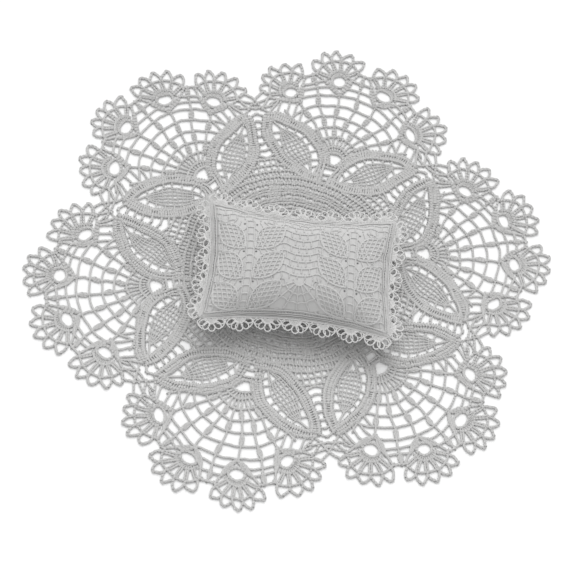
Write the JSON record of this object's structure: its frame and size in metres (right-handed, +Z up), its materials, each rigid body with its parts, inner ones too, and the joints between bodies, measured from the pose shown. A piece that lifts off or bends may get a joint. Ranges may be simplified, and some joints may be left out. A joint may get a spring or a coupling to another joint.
{
  "type": "ring bearer pillow",
  "caption": "Small stuffed cushion with a lace front and a looped cord edging, lying loose on a round crocheted doily.",
  "frame": {"origin": "Centre of the doily, on the surface that it lies on.", "axes": "+Z is up. +X runs along the pillow's long side, and +Y across it toward the far side."},
  "size_m": [0.5292, 0.5286, 0.0545],
  "materials": {
    "crochet_cotton": "matte",
    "filling_fibre": "matte",
    "panel_cotton": "matte",
    "lace_cotton": "matte",
    "cord_cotton": "matte"
  },
  "bodies": {
    "doily": {"doily_medallion": "crochet_cotton", "doily_petals_1": "crochet_cotton", "doily_petals_2": "crochet_cotton", "doily_petals_3": "crochet_cotton", "doily_petals_4": "crochet_cotton", "doily_petals_5": "crochet_cotton", "doily_petals_6": "crochet_cotton", "doily_fan_1": "crochet_cotton", "doily_fan_2": "crochet_cotton", "doily_fan_3": "crochet_cotton", "doily_fan_4": "crochet_cotton", "doily_fan_5": "crochet_cotton", "doily_fan_6": "crochet_cotton"},
    "pillow": {"pillow_filling": "filling_fibre", "pillow_front_panel": "panel_cotton", "pillow_back_panel": "panel_cotton", "lace_overlay": "lace_cotton", "lace_border_front": "lace_cotton", "lace_border_right": "lace_cotton", "lace_border_back": "lace_cotton", "lace_border_left": "lace_cotton", "header_cord": "cord_cotton", "scallop_trim_front": "cord_cotton", "scallop_trim_right": "cord_cotton", "scallop_trim_back": "cord_cotton", "scallop_trim_left": "cord_cotton"}
  },
  "joints": [
    {"name": "pillow_lift", "type": "slide", "parent": "doily", "child": "pillow", "axis": [0, 0, 1], "range_m": [0, 0.12]}
  ]
}
